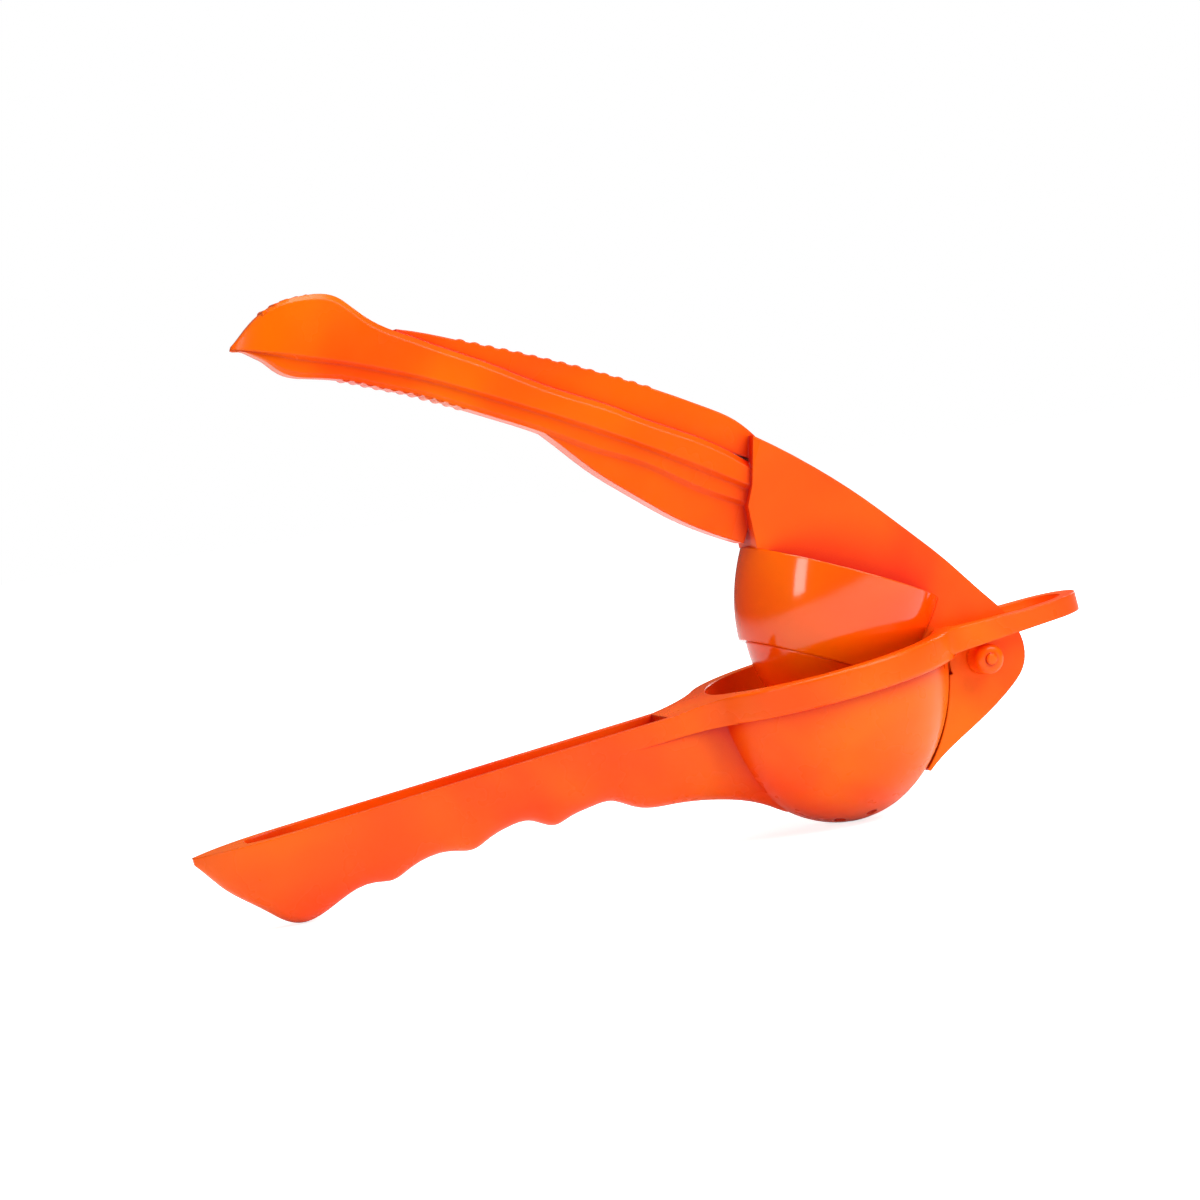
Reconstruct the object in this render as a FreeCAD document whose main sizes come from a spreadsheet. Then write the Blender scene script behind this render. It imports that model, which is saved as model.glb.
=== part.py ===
"""Two-lever citrus squeezer, drawn closed about its hinge and then stood open on its bowl and heel.

Every piece is drawn in the frame of its lever: the hinge axis is the origin and runs along Y,
X runs from the handles towards the loop, and Z is square to the bowl's rim. The two levers share
that frame when the squeezer is closed. Lengths are millimetres.
"""
import FreeCAD, Part
import math
import os
import re
import Sketcher

# --- driving dimensions -----------------------------------------------------------------------
SIZES = {
    # bowl, measured from the hinge axis and from the plane of its rim
    "rim_above_hinge": 9.6,
    "bowl_reach": 35.6,
    "bowl_radius": 29.0,
    "bowl_depth": 37.5,
    "bowl_wall": 2.2,
    "rim_radius": 31.0,
    "rim_band": 6.5,
    "lip_height": 1.6,
    "lip_round": 0.7,
    "notch_reach": 14.0,
    "notch_clearance": 0.6,
    "drain_diameter": 2.6,
    "drain_ring_inner": 4.8,
    "drain_ring_outer": 9.6,
    "drain_count_inner": 5,
    "drain_count_outer": 8,
    # handle of the bowl lever
    "handle_reach": 184.6,
    "handle_half_width": 8.75,
    "handle_wall": 2.0,
    "handle_floor": 2.2,
    "handle_root": 72.0,
    "flare_round": 13.0,
    "deck_overhang": 0.35,
    "deck_run": 22.0,
    "ramp_foot": 74.0,
    "ramp_head": 60.0,
    "trough_end": 75.0,
    "finger_first": 143.3,
    "finger_pitch": 19.0,
    "finger_depth": 2.5,
    "grip_hollow": 15.6,
    # loop that hooks round the press lever
    "loop_reach": 28.0,
    "loop_end_radius": 10.75,
    "loop_end_wall": 3.6,
    "loop_half_width": 14.4,
    "loop_bar": 4.8,
    "loop_thickness": 4.2,
    "loop_ramp_head": 8.0,
    "loop_ramp_foot": 12.0,
    "loop_drop": 1.4,
    "loop_slot_start": 6.0,
    "loop_root_round": 9.0,
    "edge_round": 0.8,
    # hinge pin
    "pin_radius": 3.45,
    "pin_half_length": 13.25,
    "pin_dome": 1.5,
    "pin_nib_radius": 1.3,
    "pin_nib_height": 0.7,
    "nib_round": 0.4,
    # press lever
    "tongue_half_thickness": 6.75,
    "web_half_thickness": 3.5,
    "beam_half_width": 5.5,
    "press_reach": 183.2,
    "fin_low": -1.0,
    "fin_fit": 0.05,
    "tongue_round": 7.7,
    "tail_foot": 6.0,
    "strip_half_thickness": 4.4,
    "beam_chamfer": 1.3,
    "tail_clearance": 0.3,
    # rows of small ribs: first rib behind the hinge, spacing, number, radius and height
    "tooth_first": 134.8,
    "tooth_pitch": 3.35,
    "tooth_count": 14,
    "tooth_radius": 1.9,
    "tooth_height": 0.35,
    "rib_first": 157.5,
    "rib_pitch": 2.7,
    "rib_count": 11,
    "rib_radius": 1.4,
    "rib_height": 0.3,
    "knurl_first": 178.0,
    "knurl_pitch": 1.9,
    "knurl_count": 5,
    "knurl_radius": 0.9,
    "knurl_height": 0.1,
    # plunger
    "plunger_gap": 3.7,
    "plunger_offset": 0.3,
    "cup_depth": 33.5,
    "cup_height": 20.4,
    "cup_wall": 2.2,
    "seat_ledge": 0.6,
    "disc_thickness": 3.0,
    "disc_rise": 1.1,
    "nose_step": 1.6,
    "nose_gap": 2.3,
    "nose_wall": 2.4,
    "nose_floor": 3.4,
    "nose_core_radius": 5.8,
    "spigot_radius": 13.0,
    "spigot_height": 3.6,
    # angles of the hinge, in degrees
    "open_angle": 30.4,
    "open_margin": 0.6,
}

DERIVED = {
    "deck_height": "rim_above_hinge - lip_height",
    "notch_half_width": "tongue_half_thickness + notch_clearance",
    "notch_floor": "fin_low - notch_clearance",
    "band_low": "rim_above_hinge - rim_band",
    "bowl_place": "-bowl_reach",
    "drain_radius": "drain_diameter / 2",
    "inner_radius": "bowl_radius - bowl_wall",
    "inner_depth": "bowl_depth - bowl_wall",
    "loop_top": "rim_above_hinge - loop_drop",
    "loop_low": "rim_above_hinge - loop_drop - loop_thickness",
    "loop_centre": "loop_reach - loop_end_radius",
    "slot_half_width": "loop_half_width - loop_bar",
    "slot_end_radius": "loop_end_radius - loop_end_wall",
    "plunger_place": "-bowl_reach - plunger_offset",
    "plunger_radius": "bowl_radius - bowl_wall - plunger_gap",
    "plunger_top": "rim_above_hinge + disc_rise",
    "cup_inner": "plunger_radius - cup_wall",
    "nose_depth": "bowl_depth - bowl_wall - nose_gap",
    "pin_nib_end": "pin_half_length + pin_nib_height",
}

doc = FreeCAD.newDocument("citrus_squeezer")
sheet = doc.addObject("Spreadsheet::Sheet", "Sizes")
for row, (alias, value) in enumerate(SIZES.items(), start=1):
    sheet.set(f"A{row}", alias)
    sheet.set(f"B{row}", str(value))
    sheet.setAlias(f"B{row}", alias)
for row, (alias, formula) in enumerate(DERIVED.items(), start=len(SIZES) + 2):
    sheet.set(f"A{row}", alias)
    sheet.set(f"B{row}", "=" + formula)
    sheet.setAlias(f"B{row}", alias)
STAND_ROW = len(SIZES) + len(DERIVED) + 4
for row, alias in enumerate(("stand_tilt", "stand_x", "stand_z"), start=STAND_ROW):
    sheet.set(f"A{row}", alias)
    sheet.set(f"B{row}", "0")
    sheet.setAlias(f"B{row}", alias)
doc.recompute()

SIZE = {alias: float(sheet.get(alias)) for alias in (*SIZES, *DERIVED)}
ALIASES = {*SIZE, "stand_tilt", "stand_x", "stand_z"}
V = FreeCAD.Vector
TRIM = 0.5  # how far a cutting shape stands out of the face that it cuts
BITE = 0.15  # how far a flare runs into the round that it meets


# --- small helpers ----------------------------------------------------------------------------
def bound(text):
    """The same expression with every size named as a cell of the sheet."""
    return re.sub(r"[a-z_]+", lambda m: "Sizes." + m[0] if m[0] in ALIASES else m[0], text)


def number(text):
    """Value of a sum of sizes such as 'bowl_radius - bowl_wall'."""
    total, sign = 0.0, 1.0
    for word in str(text).split():
        if word in "+-":
            sign = 1.0 if word == "+" else -1.0
            continue
        if word[0] == "-" and word[1:] in SIZE:
            total -= sign * SIZE[word[1:]]
        else:
            total += sign * (SIZE[word] if word in SIZE else float(word))
    return total


def plane(body, role):
    return next(item for item in body.Origin.OriginFeatures if item.Role == role)


def new_body(name):
    body = doc.addObject("PartDesign::Body", name)
    body.Label = name
    return body


def new_sketch(body, name, role, along=None, across=None):
    """Sketch on an origin plane, moved along the plane's normal or across its first axis."""
    sketch = body.newObject("Sketcher::SketchObject", name)
    sketch.AttachmentSupport = [(plane(body, role), "")]
    sketch.MapMode = "FlatFace"
    if along is not None:
        sketch.setExpression("AttachmentOffset.Base.z", bound(along))
    if across is not None:
        sketch.setExpression("AttachmentOffset.Base.x", bound(across))
    return sketch


def fix_point(sketch, geometry, end, x_text, y_text):
    """Ties one point of the sketch to two expressions of the sheet."""
    for kind, text in (("DistanceX", x_text), ("DistanceY", y_text)):
        index = sketch.addConstraint(Sketcher.Constraint(kind, geometry, end, number(text)))
        sketch.setExpression(f"Constraints[{index}]", bound(str(text)))


def outline(sketch, corners):
    """Closed outline of straight sides. A corner is (x, y) or (x, y, rounding radius)."""
    points = [V(number(corner[0]), number(corner[1]), 0) for corner in corners]
    rounds = [corner[2] if len(corner) > 2 else None for corner in corners]
    count = len(corners)
    enter, leave = [], []
    for i, point in enumerate(points):
        back = (points[i - 1] - point).normalize()
        ahead = (points[(i + 1) % count] - point).normalize()
        cut = 0.0
        if rounds[i]:
            cut = number(rounds[i]) / math.tan(back.getAngle(ahead) / 2)
        enter.append(point + back * cut)
        leave.append(point + ahead * cut)
    sides = []
    for i in range(count):
        side = Part.LineSegment(leave[i], enter[(i + 1) % count])
        sides.append(sketch.addGeometry(side, False))
    for i, point in enumerate(points):
        before, after = sides[i - 1], sides[i]
        if not rounds[i]:
            sketch.addConstraint(Sketcher.Constraint("Coincident", before, 2, after, 1))
            fix_point(sketch, after, 1, corners[i][0], corners[i][1])
            continue
        middle = (enter[i] + leave[i]) * 0.5
        away = middle - point
        reach = number(rounds[i]) / math.sin((enter[i] - point).getAngle(leave[i] - point) / 2)
        crown = point + away.normalize() * (reach - number(rounds[i]))
        arc = sketch.addGeometry(Part.Arc(enter[i], crown, leave[i]), False)
        starts_first = sketch.Geometry[arc].StartPoint.isEqual(enter[i], 1e-6)
        first, second = (1, 2) if starts_first else (2, 1)
        sketch.addConstraint(Sketcher.Constraint("Tangent", before, 2, arc, first))
        sketch.addConstraint(Sketcher.Constraint("Tangent", arc, second, after, 1))
        index = sketch.addConstraint(Sketcher.Constraint("Radius", arc, number(rounds[i])))
        sketch.setExpression(f"Constraints[{index}]", bound(str(rounds[i])))
        tip = sketch.addGeometry(Part.Point(point), True)
        sketch.addConstraint(Sketcher.Constraint("PointOnObject", tip, 1, before))
        sketch.addConstraint(Sketcher.Constraint("PointOnObject", tip, 1, after))
        fix_point(sketch, tip, 1, corners[i][0], corners[i][1])


def circle(sketch, x_text, y_text, radius_text):
    spot = V(number(x_text), number(y_text), 0)
    index = sketch.addGeometry(Part.Circle(spot, V(0, 0, 1), number(radius_text)), False)
    fix_point(sketch, index, 3, x_text, y_text)
    limit = sketch.addConstraint(Sketcher.Constraint("Radius", index, number(radius_text)))
    sketch.setExpression(f"Constraints[{limit}]", bound(radius_text))


def pad(body, name, sketch, length, both_ways=False):
    feature = body.newObject("PartDesign::Pad", name)
    feature.Profile = sketch
    feature.Refine = False
    feature.Midplane = both_ways
    feature.setExpression("Length", bound(length))
    doc.recompute()
    return feature


def pocket(body, name, sketch, length=None, down=True):
    """Cut along the sketch's normal, right through when no length is given."""
    before = body.Shape.Volume
    feature = body.newObject("PartDesign::Pocket", name)
    feature.Profile = sketch
    feature.Refine = False
    feature.Reversed = not down
    if length is None:
        feature.Type = "ThroughAll"
        feature.Midplane = True
    else:
        feature.setExpression("Length", bound(length))
    doc.recompute()
    if not body.Shape.Volume < before - 1e-6:
        raise RuntimeError(f"{name} cuts nothing")
    return feature


def revolve(body, name, sketch, cut=False):
    feature = body.newObject("PartDesign::Groove" if cut else "PartDesign::Revolution", name)
    feature.Profile = sketch
    feature.ReferenceAxis = (sketch, ["V_Axis"])
    feature.Refine = False
    feature.Angle = 360
    doc.recompute()
    return feature


def ellipse_quarter(sketch, level, radius, depth):
    """Quarter of an ellipse from its lowest point on the sketch's Y axis out to its full radius."""
    middle = V(0, number(level), 0)
    low = middle - V(0, number(depth), 0)
    side = middle + V(number(radius), 0, 0)
    ellipse = Part.Ellipse(low, side, middle)
    arc = sketch.addGeometry(Part.ArcOfEllipse(ellipse, 0, math.pi / 2), False)
    sketch.exposeInternalGeometry(arc)
    long_axis, short_axis = arc + 1, arc + 2
    fix_point(sketch, arc, 3, "0", level)
    for line, text in ((long_axis, depth), (short_axis, radius)):
        limit = sketch.addConstraint(Sketcher.Constraint("Distance", line, 2 * number(text)))
        sketch.setExpression(f"Constraints[{limit}]", bound(f"2 * ({text})"))
    sketch.addConstraint(Sketcher.Constraint("Vertical", long_axis))
    return arc


def half_ellipsoid(body, name, place, level, radius, depth, cut=False):
    """Turned solid, or hollow, below a level: half an ellipsoid on an upright axis."""
    sketch = new_sketch(body, name + "_profile", "XZ_Plane", across=place)
    arc = ellipse_quarter(sketch, level, radius, depth)
    sketch.addConstraint(Sketcher.Constraint("PointOnObject", arc, 1, -2))
    side = V(number(radius), number(level), 0)
    centre = V(0, number(level), 0)
    lid = sketch.addGeometry(Part.LineSegment(side, centre), False)
    axis = sketch.addGeometry(Part.LineSegment(centre, centre - V(0, number(depth), 0)), False)
    sketch.addConstraint(Sketcher.Constraint("Coincident", arc, 2, lid, 1))
    sketch.addConstraint(Sketcher.Constraint("Coincident", lid, 2, arc, 3))
    sketch.addConstraint(Sketcher.Constraint("Coincident", lid, 2, axis, 1))
    sketch.addConstraint(Sketcher.Constraint("Coincident", axis, 2, arc, 1))
    sketch.addConstraint(Sketcher.Constraint("Horizontal", lid))
    return revolve(body, name, sketch, cut)


def loft(body, name, sections, cut=False):
    feature = body.newObject("PartDesign::SubtractiveLoft" if cut else "PartDesign::AdditiveLoft", name)
    feature.Profile = sections[0]
    feature.Sections = sections[1:]
    feature.Refine = False
    doc.recompute()
    return feature


def mirrored(point):
    return V(point.x, -point.y, point.z)


def taper(end_text, half_text, radius_text):
    """Lean of a side that passes the hinge at a half-width and runs tangent to a round end.

    Returns the length of the side from the end arc back to the hinge, and its lean.
    """
    centre = number(end_text) - number(radius_text)
    reach = math.hypot(centre, number(half_text))
    lean = math.atan2(number(half_text), centre) - math.asin(number(radius_text) / reach)
    return math.sqrt(reach ** 2 - number(radius_text) ** 2), lean


def round_end(centre_text, radius_text, lean):
    """Start, crown and end of the arc that closes two tapering sides."""
    radius, centre = number(radius_text), V(number(centre_text), 0, 0)
    start = centre + V(math.sin(lean), math.cos(lean), 0) * radius
    return start, centre + V(radius, 0, 0), mirrored(start)


def flared_tab(sketch, first, second, flare, end=None):
    """Tab that grows out of the rim: two sides through the points, each flared into the rim circle.

    The far end is the given curve, or a straight line between the two first points.
    """
    rim, middle = SIZE["rim_radius"] - BITE, V(-SIZE["bowl_reach"], 0, 0)
    along = (second - first).normalize()
    out = V(-along.y, along.x, 0)
    if out.y < 0:
        out = -out
    start = first + out * flare
    toward = middle - start
    run = toward.dot(along) - math.sqrt((rim + flare) ** 2 - (toward - along * toward.dot(along)).Length ** 2)
    centre = start + along * run
    leave = centre - out * flare
    touch = middle + (centre - middle) * (rim / (rim + flare))
    crown = centre + ((leave + touch) * 0.5 - centre).normalize() * flare
    inner = V((middle.x + touch.x) / 2, touch.y, 0)
    for turn in (lambda point: point, mirrored):
        sketch.addGeometry(Part.LineSegment(turn(first), turn(leave)), False)
        sketch.addGeometry(Part.Arc(turn(leave), turn(crown), turn(touch)), False)
        sketch.addGeometry(Part.LineSegment(turn(touch), turn(inner)), False)
    sketch.addGeometry(Part.LineSegment(inner, mirrored(inner)), False)
    sketch.addGeometry(end or Part.LineSegment(first, mirrored(first)), False)


def drains(body):
    """Drain holes through the bottom of the bowl: one in the middle and two rings."""
    centre = new_sketch(body, "drain_centre", "XY_Plane", across="bowl_place")
    circle(centre, "0", "0", "drain_radius")
    pocket(body, "drain_middle", centre)
    for ring in ("inner", "outer"):
        spot = new_sketch(body, f"drain_spot_{ring}", "XY_Plane", across="bowl_place")
        circle(spot, f"drain_ring_{ring}", "0", "drain_radius")
        hole = pocket(body, f"drain_{ring}", spot)
        pattern = body.newObject("PartDesign::PolarPattern", f"drain_pattern_{ring}")
        pattern.Originals = [hole]
        pattern.Axis = (spot, ["N_Axis"])
        pattern.Angle = 360
        pattern.Refine = False
        pattern.setExpression("Occurrences", bound(f"drain_count_{ring}"))
        body.Tip = pattern
        doc.recompute()


# --- bowl lever -------------------------------------------------------------------------------
# Half section of the handle: shares of the half-width and of the drop of its curve's poles.
GRIP_POLES = ((1.0, 0.0), (0.97, 0.72), (0.62, 1.0), (0.0, 1.0))


def grip_stations():
    """Underside of the bowl lever's handle: (distance behind the hinge, half-width, depth below rim).

    Nose and heel come first, then three finger hollows, then the run into the bowl.
    """
    reach, width = SIZE["handle_reach"], SIZE["handle_half_width"]
    rows = [(reach, 0.10, 3.3), (reach - 2.0, 0.30, 6.1), (reach - 4.8, 0.53, 10.1)]
    rows += [(reach - 8.3, 0.73, 13.7), (reach - 12.0, 0.87, 17.1), (reach - 15.6, 0.95, 20.5)]
    rows += [(reach - 19.0, 0.985, 22.1), (reach - 23.4, 1.0, 21.8)]
    rows += [(reach - 32.6, 1.0, 18.7), (reach - 37.2, 1.0, 18.5)]
    first, pitch, depth = SIZE["finger_first"], SIZE["finger_pitch"], SIZE["finger_depth"]
    for finger, crest in enumerate((19.1, 17.9, 18.1)):
        start = first - finger * pitch
        share = 1.0 if finger < 2 else 0.58
        for step, rise in ((0.0, 0.0), (0.2, 0.5), (0.46, 1.0), (0.77, 0.84)):
            rows.append((start - step * pitch, 1.0, crest - rise * depth * share))
    root = SIZE["handle_root"]
    rows += [(root + 14.3, 1.0, 19.5), (root + 5.2, 1.0, 21.6), (root - 5.0, 1.0, 23.7)]
    rows += [(root - 12.0, 0.96, 26.2), (root - 17.0, 0.84, 29.1), (root - 22.0, 0.65, 31.6)]
    return [(x, share * width, low) for x, share, low in rows]


def grip_section(body, name, station, rise=0.0):
    """U-shaped section of the handle under its flat top, or of the trough that is cut into it."""
    behind, half_width, low = station
    sketch = new_sketch(body, name, "YZ_Plane")
    sketch.AttachmentOffset = FreeCAD.Placement(V(0, 0, -behind), FreeCAD.Rotation())
    top = SIZE["deck_height"] + rise
    bottom = SIZE["rim_above_hinge"] - low
    drop = top - bottom
    for side in (1, -1):
        poles = [V(side * half_width * out, top - drop * down, 0) for out, down in GRIP_POLES]
        if side < 0:
            poles.reverse()
        curve = Part.BSplineCurve()
        curve.buildFromPoles(poles, False, 3)
        sketch.addGeometry(curve, False)
    sketch.addGeometry(Part.LineSegment(V(-half_width, top, 0), V(half_width, top, 0)), False)
    return sketch


def trough_stations():
    """Stations of the open trough in the handle; its floor clears the deepest finger hollow."""
    reach, end = SIZE["handle_reach"], SIZE["trough_end"]
    width = SIZE["handle_half_width"] - SIZE["handle_wall"]
    low = SIZE["grip_hollow"] - SIZE["handle_floor"]
    nose = [(12.0, 0.46, 0.5), (14.0, 0.68, 0.72), (17.5, 0.86, 0.92), (23.0, 0.98, 1.0)]
    rows = [(reach - step, share * width, depth * low) for step, share, depth in nose]
    middle = (reach - 23.0 + end) / 2
    return rows + [(middle, width, low), (end + 12.0, width, low), (end, width, low)]


def bowl_lever():
    body = new_body("lower_lever")
    half_ellipsoid(body, "bowl_outside", "bowl_place", "rim_above_hinge", "bowl_radius", "bowl_depth")

    rim = new_sketch(body, "rim_profile", "XZ_Plane", across="bowl_place")
    outline(rim, [("0", "band_low"), ("rim_radius", "band_low", "edge_round"),
                  ("rim_radius", "rim_above_hinge", "lip_round"), ("0", "rim_above_hinge")])
    revolve(body, "rim_band_ring", rim)

    # deck that joins the handle to the rim: its sides come out of the handle a little proud
    deck = new_sketch(body, "deck_outline", "XY_Plane", along="band_low")
    root = -SIZE["handle_root"]
    half = SIZE["handle_half_width"]
    start = V(root - SIZE["deck_run"], half - 2 * SIZE["deck_overhang"], 0)
    flared_tab(deck, start, V(root, half + SIZE["deck_overhang"], 0), SIZE["flare_round"])
    pad(body, "deck", deck, "rim_band")
    ramp = new_sketch(body, "ramp_profile", "XZ_Plane")
    outline(ramp, [("-handle_reach", "deck_height"), ("-ramp_foot", "deck_height"),
                   ("-ramp_head", "rim_above_hinge"), ("-ramp_head", f"rim_above_hinge + {TRIM}"),
                   ("-handle_reach", f"rim_above_hinge + {TRIM}")])
    pocket(body, "deck_ramp", ramp)

    # loop: two bars that taper from the rim to a full-round end
    loop = new_sketch(body, "loop_outline", "XY_Plane", along="loop_low")
    end, lean = taper("loop_reach", "loop_half_width", "loop_end_radius")
    arc_start, crown, arc_end = round_end("loop_centre", "loop_end_radius", lean)
    flared_tab(loop, arc_start, arc_start + V(-math.cos(lean), math.sin(lean), 0) * end,
               SIZE["loop_root_round"], Part.Arc(arc_start, crown, arc_end))
    pad(body, "loop", loop, "rim_above_hinge - loop_low")
    slope = new_sketch(body, "loop_slope", "XZ_Plane")
    over = f"rim_above_hinge + {TRIM}"
    outline(slope, [("-loop_ramp_head", "rim_above_hinge"), ("loop_ramp_foot", "loop_top"),
                    (f"loop_reach + {TRIM}", "loop_top"), (f"loop_reach + {TRIM}", over),
                    ("-loop_ramp_head", over)])
    pocket(body, "loop_ramp", slope)

    sections = [grip_section(body, f"grip_{i}", row) for i, row in enumerate(grip_stations())]
    loft(body, "grip", sections)

    slot = new_sketch(body, "slot_outline", "XY_Plane")
    end, lean = taper("loop_centre + slot_end_radius", "slot_half_width", "slot_end_radius")
    arc_start, crown, arc_end = round_end("loop_centre", "slot_end_radius", lean)
    back = SIZE["loop_slot_start"] + arc_start.x
    far = arc_start + V(-1, math.tan(lean), 0) * back
    slot.addGeometry(Part.Arc(arc_start, crown, arc_end), False)
    slot.addGeometry(Part.LineSegment(arc_start, far), False)
    slot.addGeometry(Part.LineSegment(far, mirrored(far)), False)
    slot.addGeometry(Part.LineSegment(mirrored(far), arc_end), False)
    pocket(body, "loop_slot", slot)

    half_ellipsoid(body, "bowl_inside", "bowl_place", "rim_above_hinge", "inner_radius",
                   "inner_depth", cut=True)
    notch = new_sketch(body, "notch_outline", "XY_Plane", along="notch_floor")
    notch_end = f"{TRIM} - loop_slot_start"
    outline(notch, [("-notch_reach", "-notch_half_width"), (notch_end, "-notch_half_width"),
                    (notch_end, "notch_half_width"), ("-notch_reach", "notch_half_width")])
    pocket(body, "rim_notch", notch, f"rim_above_hinge - notch_floor + {TRIM}", down=False)

    rows = trough_stations()
    sections = [grip_section(body, f"trough_{i}", row, TRIM) for i, row in enumerate(rows)]
    loft(body, "trough", sections, cut=True)

    drains(body)
    return body


# --- press lever ------------------------------------------------------------------------------
# Beam and hump: distance from the tip or behind the hinge, share of the half-width, top, lower edge
# and foot of the slope that runs in under it.
HUMP = (
    (0.0, 0.14, 23.2, 22.5, 22.2), (1.5, 0.36, 26.4, 22.8, 22.4), (3.6, 0.56, 30.6, 23.2, 22.6),
    (6.3, 0.75, 34.1, 23.7, 22.2), (9.6, 0.89, 36.7, 24.3, 21.2), (13.5, 0.97, 38.6, 24.9, 20.3),
    (18.0, 1.0, 39.6, 25.5, 21.0), (22.2, 1.0, 38.6, 26.1, 22.0), (27.2, 1.0, 36.8, 26.7, 22.8),
    (32.6, 1.0, 35.9, 27.2, 23.1),
)
BEAM = (
    (143.0, 1.0, 35.4, 27.7, 23.7), (133.0, 1.0, 34.9, 27.9, 23.8), (120.0, 1.0, 33.8, 27.8, 23.5),
    (107.0, 1.0, 33.0, 27.5, 22.7), (94.0, 1.0, 32.4, 26.9, 22.1), (81.0, 1.0, 31.6, 25.9, 20.9),
    (68.0, 1.0, 30.0, 24.6, 19.4), (58.0, 1.0, 28.4, 23.4, 18.3),
)
# Upper edge of the web above the beam, from the hump to the head plate, and its lower edge; the
# outlines close on points hidden inside the beam.
WEB_TOP = ((149.5, 36.4), (141.5, 37.4), (133.5, 37.9), (122.0, 38.7), (109.0, 39.3), (96.0, 39.4),
           (86.0, 39.1), (77.0, 38.5), (70.0, 37.6), (66.5, 36.4), (63.0, 34.6))
WEB_TOP_CORE = ((60.0, 30.0), (120.0, 31.0), (149.5, 33.0))
WEB_LOW = ((112.0, 23.4), (106.0, 21.1), (99.0, 18.3), (87.0, 14.9), (76.7, 12.5), (67.0, 11.4),
           (60.5, 11.2))
WEB_LOW_CORE = ((60.0, 22.0), (112.0, 26.0))
# Crown of the head plate, nose of the tongue and back of the tail, then the plate's blunt far end.
PLATE_TOP = ((65.5, 34.9), (48.1, 31.4), (36.5, 28.0), (25.0, 23.8), (13.5, 19.3), (3.5, 14.6),
             (-4.6, 10.6), (-9.0, 6.2), (-10.5, 1.0), (-8.9, -4.4), (-2.9, -14.6), (5.2, -27.8))
PLATE_END = ((62.6, 19.3), (62.9, 24.3))
# Inner side of the tongue under its round: both points lie where the bowl's relief is cut.
TONGUE_BACK = ((12.0, -9.0), (5.72, -5.15))


def behind(rows):
    """Points of a side view from distances behind the hinge."""
    return [V(-reach, height, 0) for reach, height in rows]


def smooth(sketch, points):
    curve = Part.BSplineCurve()
    curve.interpolate(points)
    sketch.addGeometry(curve, False)


def chain(sketch, points):
    for start, end in zip(points, points[1:]):
        sketch.addGeometry(Part.LineSegment(start, end), False)


def height_at(rows, reach):
    """Height of an edge at a distance behind the hinge."""
    for (far, high), (near, low) in zip(rows, rows[1:]):
        if near <= reach <= far:
            return low + (high - low) * (reach - near) / (far - near)
    raise RuntimeError(f"{reach} lies off the edge")


def mirrored_side(point):
    return V(-point.x, point.y, point.z)


def beam_section(body, index, row):
    reach, share, top, edge, foot = row
    sketch = new_sketch(body, f"beam_{index}", "YZ_Plane")
    sketch.AttachmentOffset = FreeCAD.Placement(V(0, 0, -reach), FreeCAD.Rotation())
    half = share * SIZE["beam_half_width"]
    strip = share * SIZE["strip_half_thickness"]
    under = share * SIZE["web_half_thickness"]
    cut = min(share * SIZE["beam_chamfer"], (top - edge) / 3)
    drop = (edge - foot) / 5
    corners = [V(half - share * SIZE["beam_chamfer"], top, 0), V(half, top - cut, 0), V(half, edge, 0)]
    corners += [V(strip, edge - drop, 0), V(strip, foot + drop, 0), V(under, foot, 0)]
    corners += [mirrored_side(corner) for corner in reversed(corners)]
    chain(sketch, corners + corners[:1])
    return sketch


def bumps(body, kind, rows, upward=True):
    """Row of round ribs across the web: cylinders that stand a little out of its edge."""
    sketch = new_sketch(body, kind + "_circles", "XZ_Plane")
    radius = SIZE[kind + "_radius"]
    sink = radius - SIZE[kind + "_height"]
    for i in range(int(SIZE[kind + "_count"])):
        reach = SIZE[kind + "_first"] - i * SIZE[kind + "_pitch"]
        level = height_at(rows, reach) + (-sink if upward else sink)
        sketch.addGeometry(Part.Circle(V(-reach, level, 0), V(0, 0, 1), radius), False)
    pad(body, kind + "_row", sketch, "2 * web_half_thickness", both_ways=True)


def web(body, name, edge, core):
    """Upright web along the beam, drawn by its free edge and closed inside the beam."""
    sketch = new_sketch(body, name + "_outline", "XZ_Plane")
    points = behind(edge)
    smooth(sketch, points)
    chain(sketch, [points[-1], *behind(core), points[0]])
    pad(body, name, sketch, "2 * web_half_thickness", both_ways=True)


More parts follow.
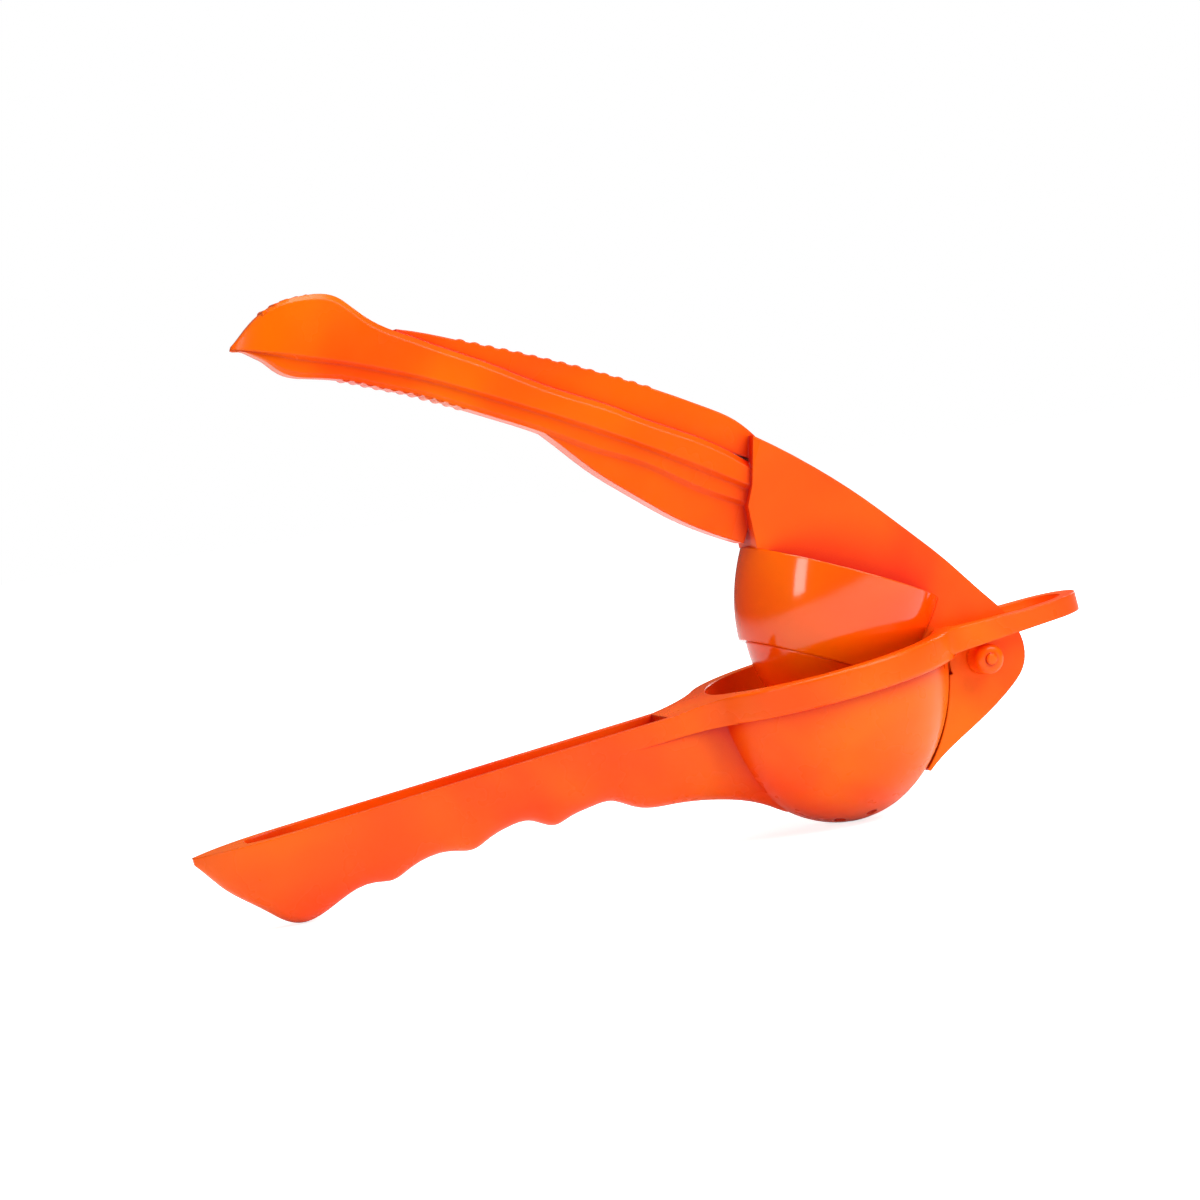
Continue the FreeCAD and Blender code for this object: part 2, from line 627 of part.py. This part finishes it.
def press_lever():
    body = new_body("upper_lever")
    plate = new_sketch(body, "plate_outline", "XZ_Plane")
    crown = behind(PLATE_TOP)
    smooth(plate, crown)
    tail, heel = crown[-1], behind(TONGUE_BACK)
    under, fin_low, arc = SIZE["plunger_top"], SIZE["fin_low"], SIZE["tongue_round"]
    arc_top = V(-math.sqrt(arc ** 2 - fin_low ** 2), fin_low, 0)
    arc_low = heel[-1].normalize() * arc
    fin_x = SIZE["plunger_place"] + SIZE["cup_inner"]
    end_x = SIZE["plunger_place"] - SIZE["plunger_radius"] + SIZE["edge_round"]
    chain(plate, [tail, V(tail.x - SIZE["tail_foot"], tail.y, 0), heel[0], arc_low])
    plate.addGeometry(Part.Arc(arc_low, (arc_low + arc_top).normalize() * arc, arc_top), False)
    chain(plate, [arc_top, V(fin_x, fin_low, 0), V(fin_x, under, 0), V(end_x, under, 0),
                  *behind(PLATE_END), crown[0]])
    pad(body, "plate", plate, "2 * tongue_half_thickness", both_ways=True)
    half_ellipsoid(body, "plunger_space", "plunger_place", "plunger_top", "plunger_radius + fin_fit",
                   "cup_depth + fin_fit", cut=True)

    disc = new_sketch(body, "disc_circle", "XY_Plane", along="plunger_top - disc_thickness")
    circle(disc, "plunger_place", "0", "cup_inner")
    pad(body, "disc", disc, "disc_thickness")

    web(body, "web_above", WEB_TOP, WEB_TOP_CORE)
    web(body, "web_below", WEB_LOW, WEB_LOW_CORE)
    rows = [(SIZE["press_reach"] - inset, *rest) for inset, *rest in HUMP] + list(BEAM)
    loft(body, "beam", [beam_section(body, i, row) for i, row in enumerate(rows)])

    bumps(body, "tooth", WEB_TOP)
    bumps(body, "knurl", [(reach, top) for reach, share, top, edge, foot in rows])
    bumps(body, "rib", [(reach, foot) for reach, share, top, edge, foot in rows], upward=False)

    tail_relief(body)
    bore = new_sketch(body, "pin_bore_circle", "XZ_Plane")
    circle(bore, "0", "0", "pin_radius")
    pocket(body, "pin_bore", bore)
    return body


def tail_relief(body):
    """Hollow in the tail that takes the outside of the bowl, below its notch, when wide open."""
    sketch = new_sketch(body, "relief_profile", "XZ_Plane")
    swing = math.radians(SIZE["open_angle"] + SIZE["open_margin"])
    gap = SIZE["tail_clearance"]
    reach, rise = -SIZE["bowl_reach"], SIZE["rim_above_hinge"]
    turned = V(reach * math.cos(swing) - rise * math.sin(swing),
               reach * math.sin(swing) + rise * math.cos(swing), 0)
    sketch.AttachmentOffset = FreeCAD.Placement(turned, FreeCAD.Rotation(V(0, 0, 1), math.degrees(swing)))
    radius, depth = SIZE["bowl_radius"] + gap, SIZE["bowl_depth"] + gap
    top = SIZE["rim_above_hinge"] - SIZE["fin_low"]
    outside = ellipse_arc(radius, depth, 0.0, top, depth)
    low, side = ends(outside)
    sketch.addGeometry(outside, False)
    chain(sketch, [side, V(0, -top, 0), low])
    revolve(body, "tail_relief", sketch, cut=True)


# --- plunger and hinge pin --------------------------------------------------------------------
def ellipse_arc(radius, depth, level, start_depth, end_depth):
    """Arc of the plunger's profile between two depths below its top."""
    middle = V(0, level, 0)
    ellipse = Part.Ellipse(middle - V(0, depth, 0), middle + V(radius, 0, 0), middle)
    angles = [math.acos(min(1.0, drop / depth)) for drop in (end_depth, start_depth)]
    return Part.ArcOfEllipse(ellipse, *angles)


def ends(curve):
    return curve.StartPoint, curve.EndPoint


def plunger_cup():
    """Skirt of the plunger: an open-topped dome with a round opening for the nose."""
    body = new_body("plunger_cup")
    sketch = new_sketch(body, "cup_profile", "XZ_Plane", across="plunger_place")
    top, height, wall = SIZE["plunger_top"], SIZE["cup_height"], SIZE["cup_wall"]
    outside = ellipse_arc(SIZE["plunger_radius"], SIZE["cup_depth"], top, 0.0, height)
    seat = SIZE["disc_thickness"]
    inner = SIZE["cup_inner"]
    inside = ellipse_arc(inner - SIZE["seat_ledge"], SIZE["cup_depth"] - wall, top, seat, height - wall)
    low, rim = ends(outside)
    inner_low, inner_top = ends(inside)
    sketch.addGeometry(outside, False)
    sketch.addGeometry(inside, False)
    hole = SIZE["spigot_radius"]
    chain(sketch, [rim, V(inner, top, 0), V(inner, top - seat, 0), inner_top])
    chain(sketch, [inner_low, V(hole, inner_low.y, 0), V(hole, low.y, 0), low])
    revolve(body, "cup", sketch)
    return body


def plunger_nose():
    """Blunt end of the plunger, stepped in under the skirt and held by a spigot."""
    body = new_body("plunger_nose")
    sketch = new_sketch(body, "nose_profile", "XZ_Plane", across="plunger_place")
    top, height = SIZE["plunger_top"], SIZE["cup_height"]
    shoulder = SIZE["cup_depth"]
    cup_low = SIZE["plunger_radius"] * math.sqrt(1 - (height / shoulder) ** 2)
    depth = SIZE["nose_depth"]
    radius = (cup_low - SIZE["nose_step"]) / math.sqrt(1 - (height / depth) ** 2)
    outside = ellipse_arc(radius, depth, top, height, depth)
    low, rim = ends(outside)
    spigot, rise = SIZE["spigot_radius"], SIZE["spigot_height"]
    bore = spigot - SIZE["nose_wall"]
    core, floor = SIZE["nose_core_radius"], top - depth + SIZE["nose_floor"]
    sketch.addGeometry(outside, False)
    chain(sketch, [rim, V(spigot, top - height, 0), V(spigot, top - height + rise, 0),
                   V(bore, top - height + rise, 0), V(bore, top - height, 0),
                   V(core, floor, 0), V(0, floor, 0), low])
    revolve(body, "nose", sketch)
    return body


def hinge_pin():
    """Cross pin with rounded ends, each with a small moulding nib."""
    body = new_body("hinge_pin")
    sketch = new_sketch(body, "pin_profile", "XY_Plane")
    outline(sketch, [("0", "-pin_half_length"), ("pin_radius", "-pin_half_length", "pin_dome"),
                     ("pin_radius", "pin_half_length", "pin_dome"), ("0", "pin_half_length")])
    revolve(body, "pin", sketch)
    nib = new_sketch(body, "nib_profile", "XY_Plane")
    outline(nib, [("0", "-pin_nib_end"), ("pin_nib_radius", "-pin_nib_end", "nib_round"),
                  ("pin_nib_radius", "pin_nib_end", "nib_round"), ("0", "pin_nib_end")])
    revolve(body, "nibs", nib)
    return body


# --- standing pose ----------------------------------------------------------------------------
def standing(shape):
    """Tilt and height that stand the bowl lever on its bowl and its heel."""
    points = shape.tessellate(0.05)[0]
    split = -(SIZE["bowl_reach"] + SIZE["handle_reach"]) / 2
    groups = [[point for point in points if (point.x < split) == behind_split]
              for behind_split in (True, False)]

    def low(group, tilt):
        return min(point.x * math.sin(tilt) + point.z * math.cos(tilt) for point in group)

    level, steep = 0.0, math.radians(30)
    for _ in range(50):
        tilt = (level + steep) / 2
        if low(groups[0], tilt) > low(groups[1], tilt):
            level = tilt
        else:
            steep = tilt
    return math.degrees(tilt)


def place(body, open_text):
    """Binds a body's placement: opened about the hinge, then stood up."""
    body.Placement.Rotation = FreeCAD.Rotation(V(0, 1, 0), 1)
    body.setExpression("Placement.Base.x", bound("stand_x"))
    body.setExpression("Placement.Base.z", bound("stand_z"))
    body.setExpression("Placement.Rotation.Angle", bound(f"({open_text}) * 1 deg"))


lower = bowl_lever()
upper = [press_lever(), plunger_cup(), plunger_nose(), hinge_pin()]
sheet.set(f"B{STAND_ROW}", str(round(standing(lower.Shape), 4)))
place(lower, "-stand_tilt")
for body in upper:
    place(body, "open_angle - stand_tilt")
doc.recompute()
whole = Part.makeCompound([body.Shape for body in (lower, *upper)]).optimalBoundingBox(False, False)
sheet.set(f"B{STAND_ROW + 1}", str(-(whole.XMin + whole.XMax) / 2))
sheet.set(f"B{STAND_ROW + 2}", str(-whole.ZMin))
doc.recompute()

# --- checks and export ------------------------------------------------------------------------
for item in doc.Objects:
    if "Invalid" in item.State or "Error" in item.State:
        raise RuntimeError(f"{item.Name} failed: {item.State}")
os.makedirs("parts", exist_ok=True)
for body in (lower, *upper):
    shape = body.Shape
    if shape.isNull() or not shape.isValid() or len(shape.Solids) != 1:
        raise RuntimeError(f"{body.Label} is not one valid solid")
    print(body.Label, round(shape.Volume), "mm3")
    shape.exportStep(f"parts/{body.Label}.step")
print("stands at", round(sheet.get("stand_tilt"), 3), "degrees, hinge at",
      round(sheet.get("stand_x"), 3), round(sheet.get("stand_z"), 3))
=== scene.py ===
import math
import bpy
from mathutils import Matrix, Vector


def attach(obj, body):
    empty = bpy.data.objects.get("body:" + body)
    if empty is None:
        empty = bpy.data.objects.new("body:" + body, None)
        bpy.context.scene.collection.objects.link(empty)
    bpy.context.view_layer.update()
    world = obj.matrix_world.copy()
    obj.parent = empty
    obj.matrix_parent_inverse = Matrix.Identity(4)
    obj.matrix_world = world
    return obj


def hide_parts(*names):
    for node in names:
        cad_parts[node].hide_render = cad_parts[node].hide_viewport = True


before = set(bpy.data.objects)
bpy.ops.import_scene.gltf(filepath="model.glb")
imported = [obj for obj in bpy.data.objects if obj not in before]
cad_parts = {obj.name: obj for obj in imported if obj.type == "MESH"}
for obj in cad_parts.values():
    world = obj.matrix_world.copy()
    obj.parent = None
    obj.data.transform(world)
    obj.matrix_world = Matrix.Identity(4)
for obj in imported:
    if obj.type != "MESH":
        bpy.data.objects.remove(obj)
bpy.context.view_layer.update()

scene = bpy.context.scene
print("frame loaded")


def deselectAll():
    if bpy.context.object and bpy.context.object.mode != "OBJECT":
        bpy.ops.object.mode_set(mode="OBJECT")
    bpy.ops.object.select_all(action="DESELECT")


def hexColour(text):
    # sRGB hex to the linear values that the shaders take
    values = [int(text[i:i + 2], 16) / 255 for i in (1, 3, 5)]
    return [v / 12.92 if v <= 0.04045 else ((v + 0.055) / 1.055) ** 2.4 for v in values] + [1.0]


def addNode(tree, kind, settings=None, inputs=None, links=None):
    # one node with its settings, its socket values and the sockets that feed it
    node = tree.nodes.new(kind)
    for name, value in (settings or {}).items():
        setattr(node, name, value)
    for name, value in (inputs or {}).items():
        node.inputs[name].default_value = value
    for name, source in (links or {}).items():
        tree.links.new(source, node.inputs[name])
    return node


# moulded shells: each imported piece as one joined, smoothly shaded skin
moulding = {
    "mergeDistance": 0.000004,  # m
    "smoothAngle": 24.0,        # degrees, sharper edges stay crisp
    "pieces": {
        "lower_lever": ("bowlLever", "bowl_lever", "lever_plastic"),
        "upper_lever": ("pressLever", "press_lever", "press_plastic"),
        "plunger_cup": ("plungerSkirt", "press_lever", "plunger_plastic"),
        "plunger_nose": ("plungerNose", "press_lever", "plunger_plastic"),
        "hinge_pin": ("hingePin", "press_lever", "pin_plastic"),
    },
}

shells = {}
for nodeName, (pieceName, bodyName, slotName) in moulding["pieces"].items():
    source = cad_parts[nodeName]
    piece = bpy.data.objects.new(pieceName, source.data.copy())
    piece.data.name = pieceName
    scene.collection.objects.link(piece)
    deselectAll()
    piece.select_set(True)
    bpy.context.view_layer.objects.active = piece
    bpy.ops.object.mode_set(mode="EDIT")
    bpy.ops.mesh.select_all(action="SELECT")
    if piece.data.has_custom_normals:
        bpy.ops.mesh.customdata_custom_splitnormals_clear()
    bpy.ops.mesh.remove_doubles(threshold=moulding["mergeDistance"])
    bpy.ops.object.mode_set(mode="OBJECT")
    bpy.ops.object.shade_smooth_by_angle(angle=math.radians(moulding["smoothAngle"]))
    piece.data.materials.clear()
    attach(piece, bodyName)
    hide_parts(nodeName)
    shells[nodeName] = piece
print("moulded shells:", {name: len(piece.data.polygons) for name, piece in shells.items()})


# glossy ABS, injection moulded: a saturated orange with a clear, slightly wavy shine
orangePlastic = {
    "base": "#FF5A00",
    "deep": "#FF4400",          # thicker stock looks redder
    "warm": "#FF7200",          # thin edges let more light through and look yellower
    # painted shade: the deep red laid into grooves and recesses, and how strongly
    "hollow": "#D01400",
    "hollowReach": 0.014,       # m, how wide a groove still gets the painted red shade
    "hollowShare": 0.95,
    "ior": 1.53,
    "edgeRadius": 0.0006,       # m, the mould's rounded corners
    "flowScale": 22.0,          # 1/m, melt flow patches of about 45 mm
    "rippleScale": 260.0,       # 1/m, waviness of about 4 mm
    "grainScale": 2600.0,       # 1/m, spark-eroded grain of 0.4 mm on the satin faces
}


def plasticMaterial(name, shine, roughness, ripple, grain, translucency, satin=None):
    # shine is 0.5 for the full mirror of ABS, less where the mould was left matt
    # satin, if given, is (turn about Y in degrees, hinge x, hinge z, start x, rougher value)
    look = orangePlastic
    material = bpy.data.materials.new(name)
    material.use_nodes = True
    tree = material.node_tree
    tree.nodes.clear()
    spot = addNode(tree, "ShaderNodeTexCoord").outputs["Object"]

    flow = addNode(tree, "ShaderNodeTexNoise", {"noise_dimensions": "3D"},
                   {"Scale": look["flowScale"], "Detail": 2.0, "Roughness": 0.45, "Distortion": 0.6},
                   {"Vector": spot}).outputs["Fac"]
    tint = addNode(tree, "ShaderNodeValToRGB", links={"Fac": flow})
    tint.color_ramp.elements[0].position = 0.3
    tint.color_ramp.elements[0].color = hexColour(look["deep"])
    tint.color_ramp.elements[1].position = 0.72
    tint.color_ramp.elements[1].color = hexColour(look["warm"])
    middle = tint.color_ramp.elements.new(0.5)
    middle.color = hexColour(look["base"])

    # painted shade: ambient occlusion turns the base colour deep red in grooves and recesses, standing
    # in for light that bounces inside a groove and comes out a deeper red
    hollow = addNode(tree, "ShaderNodeAmbientOcclusion", {"samples": 8, "only_local": True},
                     {"Distance": look["hollowReach"]}).outputs["AO"]
    paintedShadeAmount = addNode(tree, "ShaderNodeMapRange", None,
                    {"From Min": 0.5, "From Max": 0.97, "To Min": look["hollowShare"], "To Max": 0.0},
                    {"Value": hollow}).outputs["Result"]
    # base colour mixed towards the painted shade red, most where the groove is deepest
    paint = addNode(tree, "ShaderNodeMix", {"data_type": "RGBA"}, None, {"Factor": paintedShadeAmount})
    tree.links.new(tint.outputs["Color"], paint.inputs[6])
    paint.inputs[7].default_value = hexColour(look["hollow"])

    smudge = addNode(tree, "ShaderNodeTexNoise", {"noise_dimensions": "3D"},
                     {"Scale": look["flowScale"] * 3, "Detail": 3.0, "Roughness": 0.6},
                     {"Vector": spot}).outputs["Fac"]
    sheen = addNode(tree, "ShaderNodeMapRange", None,
                    {"From Min": 0.3, "From Max": 0.7, "To Min": roughness * 0.85,
                     "To Max": roughness * 1.2}, {"Value": smudge}).outputs["Result"]
    grainDepth = None
    if satin:
        turn, hingeX, hingeZ, startX, rougher = satin
        moved = addNode(tree, "ShaderNodeVectorMath", {"operation": "SUBTRACT"}, None, {0: spot})
        moved.inputs[1].default_value = (hingeX, 0, hingeZ)
        turned = addNode(tree, "ShaderNodeVectorRotate", {"rotation_type": "Y_AXIS"},
                         {"Angle": math.radians(turn)}, {"Vector": moved.outputs["Vector"]})
        along = addNode(tree, "ShaderNodeSeparateXYZ", links={"Vector": turned.outputs["Vector"]})
        mask = addNode(tree, "ShaderNodeMapRange", None,
                       {"From Min": startX - 0.0004, "From Max": startX + 0.0004},
                       {"Value": along.outputs["X"]}).outputs["Result"]
        mix = addNode(tree, "ShaderNodeMix", {"data_type": "FLOAT"}, None, {"Factor": mask})
        tree.links.new(sheen, mix.inputs[2])
        mix.inputs[3].default_value = rougher
        sheen = mix.outputs[0]
        grainDepth = mask

    ripples = addNode(tree, "ShaderNodeTexNoise", {"noise_dimensions": "3D"},
                      {"Scale": look["rippleScale"], "Detail": 1.0, "Roughness": 0.4},
                      {"Vector": spot}).outputs["Fac"]
    grains = addNode(tree, "ShaderNodeTexNoise", {"noise_dimensions": "3D"},
                     {"Scale": look["grainScale"], "Detail": 2.0, "Roughness": 0.6},
                     {"Vector": spot}).outputs["Fac"]
    rounded = addNode(tree, "ShaderNodeBevel", {"samples": 6},
                      {"Radius": look["edgeRadius"]}).outputs["Normal"]
    wavy = addNode(tree, "ShaderNodeBump", None, {"Strength": ripple, "Distance": 0.0003},
                   {"Height": ripples, "Normal": rounded}).outputs["Normal"]
    rough = addNode(tree, "ShaderNodeBump", None, {"Strength": grain, "Distance": 0.00005},
                    {"Height": grains, "Normal": wavy})
    if grainDepth:
        tree.links.new(addNode(tree, "ShaderNodeMath", {"operation": "MULTIPLY"}, {1: grain},
                               {0: grainDepth}).outputs[0], rough.inputs["Strength"])

    shader = addNode(tree, "ShaderNodeBsdfPrincipled", None,
                     {"IOR": look["ior"], "Metallic": 0.0, "Specular IOR Level": shine,
                      "Subsurface Weight": translucency,
                      "Subsurface Scale": 0.0016, "Subsurface Radius": (1.0, 0.35, 0.06)},
                     {"Base Color": paint.outputs[2], "Roughness": sheen,
                      "Normal": rough.outputs["Normal"]})
    addNode(tree, "ShaderNodeOutputMaterial", links={"Surface": shader.outputs["BSDF"]})
    return material


# injection moulded ABS: the levers have a soft shine, the plunger is polished and mirrors the lamps
headTurn = -(30.4 - 6.816)  # degrees, brings the open press lever back to its own level
finishes = {
    "lower_lever": plasticMaterial("glossyAbsBowlLever", 0.22, 0.27, 0.10, 0.05, 0.06),
    "upper_lever": plasticMaterial("glossyAbsPressLever", 0.20, 0.24, 0.10, 0.25, 0.06,
                                   (headTurn, 0.078459, 0.032087, -0.0634, 0.40)),
    "plunger_cup": plasticMaterial("polishedAbsPlunger", 0.48, 0.11, 0.05, 0.02, 0.06),
    "hinge_pin": plasticMaterial("glossyAbsPin", 0.22, 0.2, 0.06, 0.03, 0.06),
}
finishes["plunger_nose"] = finishes["plunger_cup"]
for nodeName, piece in shells.items():
    piece.data.materials.append(finishes[nodeName])
    for polygon in piece.data.polygons:
        polygon.material_index = 0
print("materials on", len(shells), "pieces")


# plain pale table top that runs out of the picture
tableTop = {
    "size": 6.0,          # m
    "colour": "#F4F4F4",
    "lift": 0.80,         # glow near the squeezer, the lamps add the rest
    "mirrored": 0.15,     # share of the glow that the plastic mirrors
    "farLift": 1.0,       # glow beyond fadeEnd, so the far table is white
    "fadeStart": 0.22,    # m from the squeezer
    "fadeEnd": 0.55,
}
deselectAll()
bpy.ops.mesh.primitive_plane_add(size=tableTop["size"], location=(0, 0, -0.0002))
table = bpy.context.object
table.name = "tableTop"
tableMaterial = bpy.data.materials.new("mattWhiteTable")
tableMaterial.use_nodes = True
tableTree = tableMaterial.node_tree
tableTree.nodes.clear()
rays = addNode(tableTree, "ShaderNodeLightPath")
mirrored = addNode(tableTree, "ShaderNodeMath", {"operation": "MULTIPLY"},
                   {1: tableTop["mirrored"]}, {0: rays.outputs["Is Glossy Ray"]})
seen = addNode(tableTree, "ShaderNodeMath", {"operation": "MAXIMUM"}, None,
               {0: rays.outputs["Is Camera Ray"], 1: mirrored.outputs[0]})
seen = addNode(tableTree, "ShaderNodeMath", {"operation": "MAXIMUM"}, None,
               {0: seen.outputs[0], 1: rays.outputs["Is Transmission Ray"]})
reach = addNode(tableTree, "ShaderNodeVectorMath", {"operation": "LENGTH"}, None,
                {0: addNode(tableTree, "ShaderNodeTexCoord").outputs["Object"]})
lift = addNode(tableTree, "ShaderNodeMapRange", None,
               {"From Min": tableTop["fadeStart"], "From Max": tableTop["fadeEnd"],
                "To Min": tableTop["lift"], "To Max": tableTop["farLift"]},
               {"Value": reach.outputs["Value"]})
glow = addNode(tableTree, "ShaderNodeMath", {"operation": "MULTIPLY"}, None,
               {0: seen.outputs[0], 1: lift.outputs["Result"]})
matt = addNode(tableTree, "ShaderNodeBsdfDiffuse", None, {"Color": hexColour(tableTop["colour"])})
shine = addNode(tableTree, "ShaderNodeEmission", None, {"Color": (1, 1, 1, 1)},
                {"Strength": glow.outputs[0]})
both = addNode(tableTree, "ShaderNodeAddShader", None, None,
               {0: matt.outputs["BSDF"], 1: shine.outputs["Emission"]})
addNode(tableTree, "ShaderNodeOutputMaterial", links={"Surface": both.outputs["Shader"]})
table.data.materials.append(tableMaterial)

# white surround for the camera, a softer grey for the light that it sends
surround = {"seen": 1.0, "sent": 0.10}
world = bpy.data.worlds.new("studioWhite")
scene.world = world
world.use_nodes = True
worldTree = world.node_tree
worldTree.nodes.clear()
rays = addNode(worldTree, "ShaderNodeLightPath")
level = addNode(worldTree, "ShaderNodeMapRange", None,
                {"To Min": surround["sent"], "To Max": surround["seen"]},
                {"Value": rays.outputs["Is Camera Ray"]})
sky = addNode(worldTree, "ShaderNodeBackground", None, {"Color": (1, 1, 1, 1)},
              {"Strength": level.outputs["Result"]})
addNode(worldTree, "ShaderNodeOutputWorld", links={"Surface": sky.outputs["Background"]})

# soft boxes: place, size in metres and power in watts
softBoxes = {
    "keyRightFront": {"place": (0.42, -0.52, 0.74), "size": (0.55, 0.80), "power": 9.2},
    "fillLeft": {"place": (-0.80, -0.52, 0.34), "size": (0.22, 0.40), "power": 2.0},
    "overhead": {"place": (-0.05, 0.05, 0.95), "size": (0.70, 0.50), "power": 5.2},
    "backRight": {"place": (0.60, 0.62, 0.40), "size": (0.35, 0.40), "power": 2.8},
}
aim = Vector((0.02, 0.0, 0.05))
for boxName, box in softBoxes.items():
    deselectAll()
    bpy.ops.object.light_add(type="AREA", location=box["place"])
    lamp = bpy.context.object
    lamp.name = boxName
    lamp.data.shape = "RECTANGLE"
    lamp.data.size, lamp.data.size_y = box["size"]
    lamp.data.energy = box["power"]
    lamp.rotation_euler = (aim - Vector(box["place"])).to_track_quat("-Z", "Y").to_euler()
print("stage and lights set")

# camera at the photograph's place, turned to its tilt
view = {"place": (-0.208134, -0.772685, 0.104741), "target": (-0.004, 0.010, 0.0585),
        "roll": 8.58, "lens": 107.29, "sensor": 36.0}
deselectAll()
bpy.ops.object.camera_add(location=view["place"])
camera = bpy.context.object
camera.name = "photoCamera"
camera.data.lens = view["lens"]
camera.data.sensor_width = view["sensor"]
camera.data.clip_start = 0.01
camera.data.clip_end = 50.0
facing = (Vector(view["target"]) - Vector(view["place"])).to_track_quat("-Z", "Y").to_matrix().to_4x4()
camera.matrix_world = (Matrix.Translation(view["place"]) @ facing
                       @ Matrix.Rotation(-math.radians(view["roll"]), 4, "Z"))
scene.camera = camera
scene.view_settings.view_transform = "Standard"
print("camera set")
